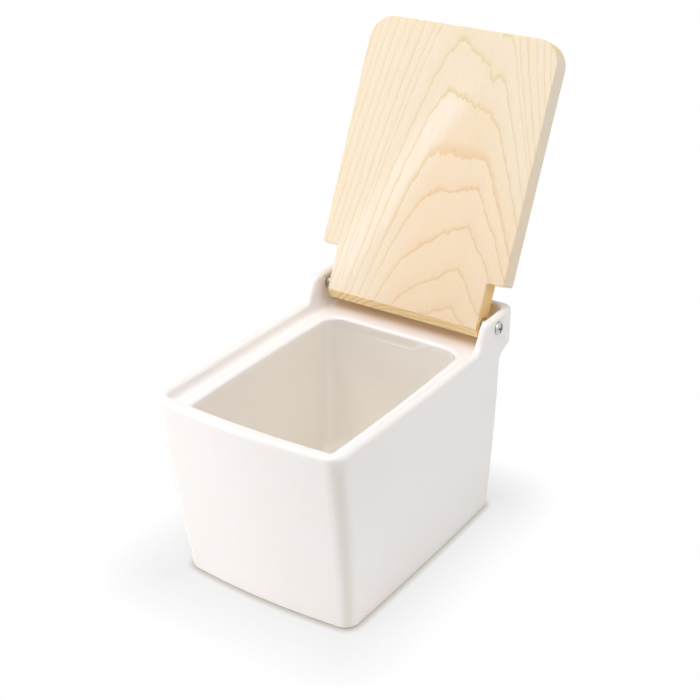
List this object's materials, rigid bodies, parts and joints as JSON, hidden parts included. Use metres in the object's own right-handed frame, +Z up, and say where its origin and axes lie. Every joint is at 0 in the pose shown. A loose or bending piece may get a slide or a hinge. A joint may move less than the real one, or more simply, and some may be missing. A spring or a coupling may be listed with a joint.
{
  "type": "salt box",
  "caption": "Countertop salt box: a tapered glazed ceramic body with a ledge inside its lip and a rear collar that carries a flat wooden lid on two screws.",
  "frame": {"origin": "under the middle of the bounding box with the lid open as stored, on the plane the foot ring stands on", "axes": "+Z up, -Y towards the front of the box, +X to the right of someone facing the front; the hinge axis lies along X"},
  "size_m": [0.1022, 0.1891, 0.2219],
  "materials": {
    "glazed_body": "glossy white glaze",
    "lid_wood": "planed, oiled",
    "screw_steel": "bright zinc plated",
    "sleeve_steel": "plain"
  },
  "bodies": {
    "box": {"ceramic_box": "glazed_body"},
    "lid": {"wooden_lid": "lid_wood", "hinge_screw_left": "screw_steel", "hinge_screw_right": "screw_steel", "spacer_sleeve_left": "sleeve_steel", "spacer_sleeve_right": "sleeve_steel"}
  },
  "joints": [
    {"name": "lid_hinge", "type": "hinge", "parent": "box", "child": "lid", "pos_m": [0, 0.03732, 0.10025], "axis": [1, 0, 0], "range_deg": [-22.1, 114.2]}
  ]
}
